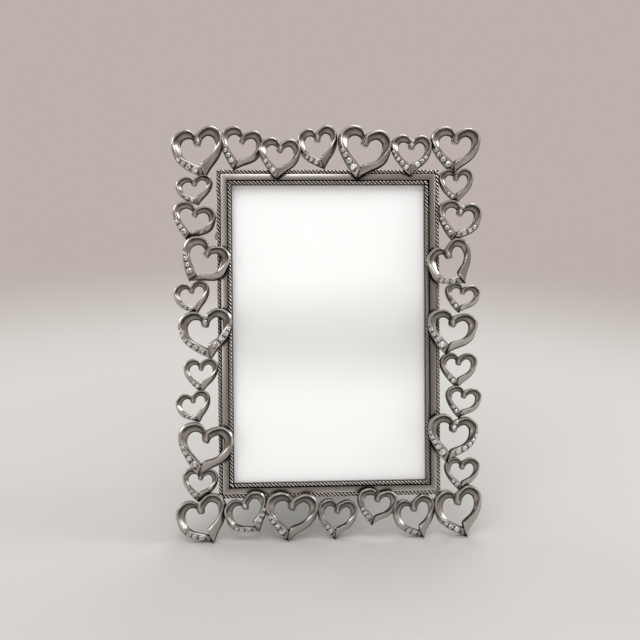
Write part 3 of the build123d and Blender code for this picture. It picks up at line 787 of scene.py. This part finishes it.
def make_rope(name, node, out, forward, radius):
    """A rope border, leaning the same way on all four sides."""
    rings = []
    wash_and_light_rings = []
    level, upright = rope_strands(out)
    start_turn = 0.0
    for i, corner in enumerate(CORNERS):
        following = CORNERS[(i + 1) % len(CORNERS)]
        start = window_corner(corner, out)
        run = window_corner(following, out) - start
        outward = (corner + following).normalized()
        lean, strands = (-1, level) if corner.y == following.y else (1, upright)
        steps = strands * TURN_STEPS
        for step in range(steps):
            before = run.length * step / steps
            after = run.length - before
            slant = max(1 - after / MITRE_REACH, 0) - max(1 - before / MITRE_REACH, 0)
            turn = start_turn + lean * 2 * math.pi / STRANDS * step / TURN_STEPS
            ring, wash_and_painted_light = rope_section(out, forward, radius, turn)
            places = []
            for u, d in ring:
                place = start + run.normalized() * (before + slant * (u - out)) + outward * (u - out)
                places.append(on_frame((place.x, place.y, d)))
            rings.append(places)
            wash_and_light_rings.append(wash_and_painted_light)
        start_turn = start_turn + lean * 2 * math.pi / STRANDS * strands
    skin = Skin()
    skin.add_rings(rings, wash_and_light_rings, closed=True)
    make_piece(name, skin, PEWTER, [node])


make_rope("inner_rope_border", "inner_rope", *INNER_ROPE)
make_rope("outer_rope_border", "outer_rope", *OUTER_ROPE)

# %% [markdown]
# ## Moulding
# The moulding holds the glass behind a thin lip and has a seat for each rope. Bars would leave four joints
# to hide, so one profile is carried round the four mitred corners. Across its face the stored value runs
# from dark at the crest to bright at the shoulder: painted shade and light, as on a top rail lit from above,
# on top of the wash.

# %% Moulding
ROPE_GAP = 0.05
MOULDING_BACK = [(7.4, 0.0), (4.1, 0.0), (4.1, 6.0), (0.0, 6.0)]  # out from the window, and forward
LIP_EDGE = [(0.0, 7.3), (0.1, 7.4)]
INNER_SEAT = (-169, -135, -90, -45, -11)
OUTER_SEAT = (-160, -135, -90, -48)
CREST = Vector((2.7, 8.8))
SHOULDER = Vector((5.65, 7.8))
RAIL_SOFTNESS = 0.4
FACE_FULLNESS = 0.14
FACE_STEPS = 8
# Painted shade across the face, on top of the wash: dark at the crest, light at the shoulder
CREST_WASH_AND_SHADE, SHOULDER_WASH_AND_SHADE = 0.48, 0.27
RAIL_BACK_WASH = 0.5
LIP_WASH = [0.3, 0.2]
INNER_SEAT_WASH = [0.6, 1, 1, 1, 1]
OUTER_SEAT_WASH = [1, 1, 1, 0.6]


def rope_seat(rope, angles):
    """Points of the hollow that a rope lies in, at angles round its middle."""
    out, forward, radius = rope
    reach = radius + ROPE_GAP
    turns = [math.radians(angle) for angle in angles]
    return [(out + reach * math.cos(turn), forward + reach * math.sin(turn)) for turn in turns]


def moulding_section():
    """The moulding's profile: distances out from the window and forward, and wash."""
    inner_seat = rope_seat(INNER_ROPE, INNER_SEAT)
    outer_seat = rope_seat(OUTER_ROPE, OUTER_SEAT)
    crest = soften(Vector(inner_seat[-1]), CREST, SHOULDER, RAIL_SOFTNESS)
    shoulder = soften(CREST, SHOULDER, Vector(outer_seat[0]), RAIL_SOFTNESS)
    start, end = crest[-1], shoulder[0]
    square = Vector((start.y - end.y, end.x - start.x)).normalized()
    shares = [step / FACE_STEPS for step in range(1, FACE_STEPS)]
    face = [start.lerp(end, s) + square * FACE_FULLNESS * bulge(s) for s in shares]
    ring = [*MOULDING_BACK, *LIP_EDGE, *inner_seat, *crest, *face, *shoulder, *outer_seat]
    wash_and_painted_light = [RAIL_BACK_WASH] * len(MOULDING_BACK) + LIP_WASH + INNER_SEAT_WASH
    wash_and_painted_light = wash_and_painted_light + [CREST_WASH_AND_SHADE] * len(crest)
    # Painted shade: the face darkens from shoulder to crest
    wash_and_painted_light = wash_and_painted_light + [CREST_WASH_AND_SHADE + (SHOULDER_WASH_AND_SHADE - CREST_WASH_AND_SHADE) * s for s in shares]
    return ring, wash_and_painted_light + [POLISH_AND_HIGHLIGHT] * len(shoulder) + OUTER_SEAT_WASH


skin = Skin()
profile, profile_wash_and_shade = moulding_section()
mitres = []
for corner in CORNERS:
    places = [(window_corner(corner, out), forward) for out, forward in profile]
    mitres.append([on_frame((place.x, place.y, forward)) for place, forward in places])
skin.add_rings(mitres, [profile_wash_and_shade] * len(mitres), closed=True)
make_piece("roped_moulding", skin, PEWTER, ["moulding"])

# %% [markdown]
# ## Rhinestones
# A rhinestone is cut glass with a foil back: the foil throws light out through the facets, so some flash
# white and others go grey. Real refraction at two millimetres would only give noise. Flat facets under a
# clear glossy coat, their colour painted bright or grey as glints, give the same flicker, and each facet's
# own direction picks how bright its painted glint is. Small grains of metal, raised from the rims, hold the
# stones.

# %% Cut glass with a foil back
# Cut glass over foil: bright and dark facets painted as glints, under a hard gloss
RHINESTONE, tree, shader = start_material("cut_glass_foil_back_painted_glints")
facet = add_node(tree, "NewGeometry").outputs["True Normal"]
flicker = add_node(tree, "TexWhiteNoise", {"Vector": facet})
# Painted glints: each facet's direction picks it bright or grey at random
painted_glints = add_node(tree, "Mix", {MIX_BY: flicker, MIX_A: "#6E6A68", MIX_B: "#F8F6F4"}, data_type="RGBA")
gloss = {"Roughness": 0.08, "Coat Weight": 1.0, "Coat Roughness": 0.02}
feed(tree, shader, {"Base Color": painted_glints, "Metallic": 0.4, **gloss})
print("made", RHINESTONE.name)

# %% Cut of a stone
FACETS = 8
TABLE, TABLE_LIFT = 0.56, 0.42
STAR, STAR_LIFT = 0.8, 0.27
GIRDLE_LIFT, BELT_LIFT = 0.03, -0.08
POINT, POINT_LIFT = 0.5, -0.4


def ring_on(axes, radius, reach, lift, count, start=0.0):
    """A ring of points round a stone's middle, as shares of its radius."""
    middle, ahead, side, out = axes
    ring = []
    for i in range(count):
        angle = 2 * math.pi * (i + start) / count
        level = ahead * math.cos(angle) + side * math.sin(angle)
        ring.append(on_floor(on_frame(middle + (level * reach + out * lift) * radius)))
    return ring


def add_stone(skin, axes, radius):
    """A brilliant-cut stone: table, star facets, crown facets, girdle and a flat point."""
    first = len(skin.points)
    rounds = 2 * FACETS
    skin.points.extend(ring_on(axes, radius, TABLE, TABLE_LIFT, FACETS))
    skin.points.extend(ring_on(axes, radius, STAR, STAR_LIFT, FACETS, 0.5))
    for reach, lift in ((1, GIRDLE_LIFT), (1, BELT_LIFT), (POINT, POINT_LIFT)):
        skin.points.extend(ring_on(axes, radius, reach, lift, rounds))
    skin.wash_and_painted_light.extend([0] * (2 * FACETS + 3 * rounds))
    star = first + FACETS
    girdle = star + FACETS
    skin.faces.append(tuple(range(first, star)))
    for k in range(FACETS):
        n = (k + 1) % FACETS
        skin.faces.append((first + k, star + k, first + n))
        skin.faces.append((star + k, star + n, first + n))
        for g, h in ((2 * k, 2 * k + 1), (2 * k + 1, 2 * n)):
            skin.faces.append((star + k, girdle + g, girdle + h))
        skin.faces.append((star + k, girdle + 2 * n, star + n))
    for level in (girdle, girdle + rounds):
        for g in range(rounds):
            h = (g + 1) % rounds
            skin.faces.append((level + g, level + rounds + g, level + rounds + h, level + h))
    skin.faces.append(tuple(range(girdle + 3 * rounds - 1, girdle + 2 * rounds - 1, -1)))


print("a stone's table has", FACETS, "sides")

# %% Places of the stones
STONE_LIFT = 0.05
CURL_START = 0.12
CURL_STONE = 0.042


def stone_axes(middle, ahead, across):
    """A stone's place with its directions along the arm, across it and out of the face."""
    out = ahead.cross(across).normalized()
    out = out if out.z > 0 else -out
    return middle, ahead.normalized(), out.cross(ahead.normalized()), out


def arm_stones(heart, arm, spots):
    """The axes and radius of each stone on an arm."""
    stones = []
    for share, radius in spots:
        middle, across = face_middle(heart, arm, share)
        ahead = face_middle(heart, arm, share - STONE_STEP)[0] - middle
        axes = stone_axes(middle, ahead, across)
        stones.append(((middle + axes[3] * STONE_LIFT, *axes[1:]), radius))
    return stones


def curl_stones(heart, count):
    """Small stones along the ridge of the curl in the cleft."""
    stones = []
    radius = CURL_STONE * heart.width
    share = CURL_START
    for _ in range(count):
        _, edge, ridge, inner_edge, _ = corners(heart, "right", share)
        ahead = corners(heart, "right", share + STONE_STEP)[2] - ridge
        stones.append((stone_axes(ridge, ahead, inner_edge - edge), radius))
        share = share + STONE_STEP * (2 * radius + STONE_SPACING) / ahead.length
    return stones


print("the largest stone on a curl is", round(2 * CURL_STONE * max(widths), 1), "mm across")

# %% Stones and the grains that hold them
GRAIN_SHARE = 0.24
GRAIN_REACH = 0.8
GRAIN_SIDES = 6
GRAIN_RINGS = ((1, -0.5, 0.2), (0.8, 0.6, 0), (0.25, 1, 0))  # reach, lift and wash


def add_grain(skin, axes, radius):
    """A small dome of metal raised against the stones."""
    rings = [ring_on(axes, radius, reach, lift, GRAIN_SIDES) for reach, lift, _ in GRAIN_RINGS]
    skin.add_rings(rings, [[wash_and_painted_light] * GRAIN_SIDES for _, _, wash_and_painted_light in GRAIN_RINGS])


def add_grains(skin, placed):
    """Two grains between each stone of an arm and the next."""
    for (near, size), (far, _) in zip(placed, placed[1:]):
        for rim in (-1, 1):
            middle = (near[0] + far[0]) / 2 + near[2] * rim * size * GRAIN_REACH
            add_grain(skin, (middle, *near[1:]), size * GRAIN_SHARE)


stone_count = 0
for row in ROWS:
    stones = Skin()
    grains = Skin()
    for name, heart in hearts_of(row):
        on_arms = [arm_stones(heart, arm, SPOTS[name][arm]) for arm in ARMS]
        for placed in on_arms:
            add_grains(grains, placed)
        for placed in [*on_arms, curl_stones(heart, heart.drawn.stones[2])]:
            for axes, radius in placed:
                add_stone(stones, axes, radius)
            stone_count = stone_count + len(placed)
    make_piece(f"{row}_rhinestones", stones, RHINESTONE, [f"{row}_stones"], flat=True)
    make_piece(f"{row}_stone_grains", grains, PEWTER, [])
print(stone_count, "stones set")

# %% [markdown]
# ## Glass, insert and card
# Float glass is clear and flat, so it needs only its index and a smooth surface. The sheet that comes in a
# new frame is coated white paper, matt, with the palest grey shading across its middle. Behind it lies
# grey chipboard with flecks of fibre, seen only when the back is off.

# %% Float glass
# Clear float glass with polished faces: nearly unseen, apart from its reflections
GLASS, tree, shader = start_material("float_glass_clear")
feed(tree, shader, {"Base Color": "#FFFFFF", "Roughness": 0.0, "IOR": 1.52, "Transmission Weight": 1.0})
path = add_node(tree, "LightPath").outputs
rays = {0: path["Is Shadow Ray"], 1: path["Is Diffuse Ray"]}
lamp_ray = add_node(tree, "Math", rays, operation="MAXIMUM")
clear = add_node(tree, "BsdfTransparent")
lit = add_node(tree, "MixShader", {0: lamp_ray, 1: shader, 2: clear})
feed(tree, tree.nodes["Material Output"], {"Surface": lit})
print("made", GLASS.name)

# %% Coated paper
# White coated paper with a soft band of the palest grey across its middle
SHADE_CENTRE = -2.0
SHADE_REACH = 34.0

PAPER, tree, shader = start_material("paper_white_coated")
place = add_node(tree, "TexCoord").outputs["Object"]
height = add_node(tree, "VectorMath", {0: place, 1: UP}, operation="DOT_PRODUCT")
middle = on_frame((0, SHADE_CENTRE, 0)).dot(UP)
off_centre = add_node(tree, "Math", {0: height, 1: middle}, operation="SUBTRACT")
distance = add_node(tree, "Math", {0: off_centre}, operation="ABSOLUTE")
band = {"Value": distance, "From Max": SHADE_REACH * MM}
shade = add_node(tree, "MapRange", band, interpolation_type="SMOOTHSTEP")
colour = add_node(tree, "Mix", {MIX_BY: shade, MIX_A: "#E2E2E1", MIX_B: "#FDFDFD"}, data_type="RGBA")
feed(tree, shader, {"Base Color": colour, "Roughness": 0.6})
print("made", PAPER.name)

# %% Grey chipboard
# Pressed grey board with flecks of fibre
FIBRE_SIZE = 1.2

CHIPBOARD, tree, shader = start_material("chipboard_grey_pressed")
place = add_node(tree, "TexCoord").outputs["Object"]
flecks = {"Scale": per_metre(FIBRE_SIZE), "Detail": 6.0, "Roughness": 0.75}
fibre = add_node(tree, "TexNoise", {"Vector": place, **flecks})
colour = add_node(tree, "Mix", {MIX_BY: fibre, MIX_A: "#6E675E", MIX_B: "#A39B8F"}, data_type="RGBA")
feed(tree, shader, {"Base Color": colour, "Roughness": 0.9})
print("made", CHIPBOARD.name)

# %% [markdown]
# ## Velvet back and plated hardware
# The back board and its leg are covered with flocked velvet: short upright fibres that swallow light from
# the front and glow at a glancing angle, which is what sheen does. The nap leans in patches where it was
# stroked. Hinge, rivets, screws and buttons are nickel-plated steel: bright, a little blurred, with fine
# scratches from tumbling.

# %% Flocked velvet
# Black flocked velvet: near black from the front, grey at the edges, with brushed patches
NAP_PATCH = 16.0
NAP_FIBRE = 0.35  # real flock is about 0.02 mm thick, drawn coarser so that it shows
NAP_DEPTH = 0.15

VELVET, tree, shader = start_material("velvet_flocked_black")
place = add_node(tree, "TexCoord").outputs["Object"]
patch = add_node(tree, "TexNoise", {"Vector": place, "Scale": per_metre(NAP_PATCH), "Detail": 3.0})
fibre = add_node(tree, "TexNoise", {"Vector": place, "Scale": per_metre(NAP_FIBRE), "Detail": 2.0})
colour = add_node(tree, "Mix", {MIX_BY: patch, MIX_A: "#151413", MIX_B: "#2B2927"}, data_type="RGBA")
bump = add_node(tree, "Bump", {"Height": fibre, "Strength": 0.5, "Distance": NAP_DEPTH * MM})
sheen = {"Sheen Weight": 0.6, "Sheen Roughness": 0.35, "Sheen Tint": "#B8B2AC"}
matt = {"Roughness": 0.95, "Specular IOR Level": 0.1}
feed(tree, shader, {"Base Color": colour, "Normal": bump, **matt, **sheen})
print("made", VELVET.name)

# %% Nickel plate
# Nickel plating on pressed steel: bright warm grey with fine tumbling scratches
SCRATCH_WIDTH = 0.25
SCRATCH_DEPTH = 0.02

NICKEL, tree, shader = start_material("steel_nickel_plated")
place = add_node(tree, "TexCoord").outputs["Object"]
lines = {"Scale": per_metre(SCRATCH_WIDTH), "Detail": 4.0, "Distortion": 2.0}
scratch = add_node(tree, "TexNoise", {"Vector": place, **lines})
blur = {"From Min": 0.3, "From Max": 0.7, "To Min": 0.2, "To Max": 0.36}
roughness = add_node(tree, "MapRange", {"Value": scratch, **blur})
bump = add_node(tree, "Bump", {"Height": scratch, "Strength": 0.08, "Distance": SCRATCH_DEPTH * MM})
feed(tree, shader, {"Base Color": "#BDB8B0", "Metallic": 1.0, "Roughness": roughness, "Normal": bump})
print("made", NICKEL.name)

# %% Finish the packed pieces that stay
BUTTONS = [f"turn_button_{corner}" for corner in ("upper_left", "lower_left", "upper_right", "lower_right")]
FINISHES = [  # finish, pieces, and the rounding of their edges in millimetres
    (GLASS, ["glass_pane"], 0.0),
    (PAPER, ["photo_insert"], 0.0),
    (CHIPBOARD, ["filler_card"], 0.0),
    (VELVET, ["back_board", "easel_leg"], 0.5),
    (NICKEL, ["board_hinge_leaf", "leg_hinge_leaf", "hinge_pin", "button_screws"], 0.12),
    (NICKEL, ["board_rivets", "leg_rivets", *BUTTONS], 0.15),
]
for material, names, rounding in FINISHES:
    for name in names:
        node = frame["nodes"][name]
        node.data.materials.clear()
        node.data.materials.append(material)
        if rounding:
            bevel = node.modifiers.new("rounded_edges", "BEVEL")
            bevel.width = rounding * MM
            bevel.segments = 2
            bevel.limit_method = "ANGLE"
    print(material.name, "on", ", ".join(names))

# %% [markdown]
# ## Floor, background and light
# The frame stands on a pale floor before a warm grey wall, out of focus. A wall would hide the back in other
# views, so the floor is a disc that fades out, and the background colour does for the wall. One large soft
# lamp high in front lights the face and draws a bright line along the top rail, a weak one at the left side
# lifts the left rail, one at the right throws the shadow to the left, and two behind draw bright lines
# along the edges. The world fills in the rest, and the metal mirrors a room darker than the wall.

# %% Floor
# A matt pale floor that fades out into the background
FLOOR_RADIUS = 1.2
FADE_FROM, FADE_TO = 0.25, 0.55
FLOOR_SIDES = 96

FLOOR_PAINT, tree, shader = start_material("floor_painted_pale")
feed(tree, shader, {"Base Color": "#B7B5B2", "Roughness": 0.7})
place = add_node(tree, "TexCoord").outputs["Object"]
reach = add_node(tree, "VectorMath", {0: place}, operation="LENGTH")
rim = {"Value": reach, "From Min": FADE_FROM, "From Max": FADE_TO}
fade = add_node(tree, "MapRange", rim, interpolation_type="SMOOTHSTEP")
clear = add_node(tree, "BsdfTransparent")
faded = add_node(tree, "MixShader", {0: fade, 1: shader, 2: clear})
feed(tree, tree.nodes["Material Output"], {"Surface": faded})

floor_mesh = bpy.data.meshes.new("floor")
disc = bmesh.new()
bmesh.ops.create_circle(disc, cap_ends=True, segments=FLOOR_SIDES, radius=FLOOR_RADIUS)
disc.to_mesh(floor_mesh)
disc.free()
floor_mesh.materials.append(FLOOR_PAINT)
floor = bpy.data.objects.new("floor", floor_mesh)
bpy.context.scene.collection.objects.link(floor)
print("floor is", 2 * FLOOR_RADIUS, "m across")

# %% Background
WALL_COLOUR = "#BCB2AB"
ROOM_COLOUR = "#A49B94"
FILL_COLOUR = "#F2F1EF"
FILL_STRENGTH = 0.85

world = bpy.data.worlds.new("studio")
bpy.context.scene.world = world
world.use_nodes = True
sky = world.node_tree
fill = sky.nodes["Background"]
feed(sky, fill, {"Color": FILL_COLOUR, "Strength": FILL_STRENGTH})
wall = add_node(sky, "Background", {"Color": WALL_COLOUR})
room = add_node(sky, "Background", {"Color": ROOM_COLOUR})
path = add_node(sky, "LightPath")
shown = fill
for ray, seen in (("Glossy", room), ("Transmission", wall), ("Camera", wall)):
    shown = add_node(sky, "MixShader", {0: path.outputs[f"Is {ray} Ray"], 1: shown, 2: seen})
feed(sky, sky.nodes["World Output"], {"Surface": shown})
print("wall", WALL_COLOUR, "and mirrored room", ROOM_COLOUR)

# %% Lamps
LAMPS = {  # place, size and watts
    "front_lamp": ((-0.15, -0.55, 1.3), 0.8, 6.4),
    "side_lamp": ((-0.7, -0.95, 0.45), 0.6, 1.4),
    "right_lamp": ((0.95, -0.05, 0.6), 0.4, 4.5),
    "left_lamp": ((-0.7, 0.5, 0.35), 0.4, 2.5),
    "back_lamp": ((0.25, 0.65, 0.8), 0.5, 2.5),
}
LAMP_TARGET = Vector((0, 0, 0.1))

for name, (place, size, watts) in LAMPS.items():
    lamp_data = bpy.data.lights.new(name, "AREA")
    lamp_data.size = size
    lamp_data.energy = watts
    lamp = bpy.data.objects.new(name, lamp_data)
    lamp.location = place
    lamp.rotation_mode = "QUATERNION"
    lamp.rotation_quaternion = (LAMP_TARGET - Vector(place)).to_track_quat("-Z", "Y")
    bpy.context.scene.collection.objects.link(lamp)
    print(name, watts, "W")

# %% [markdown]
# ## Sizes and finish
# The dressed frame has to keep the packed model's size.
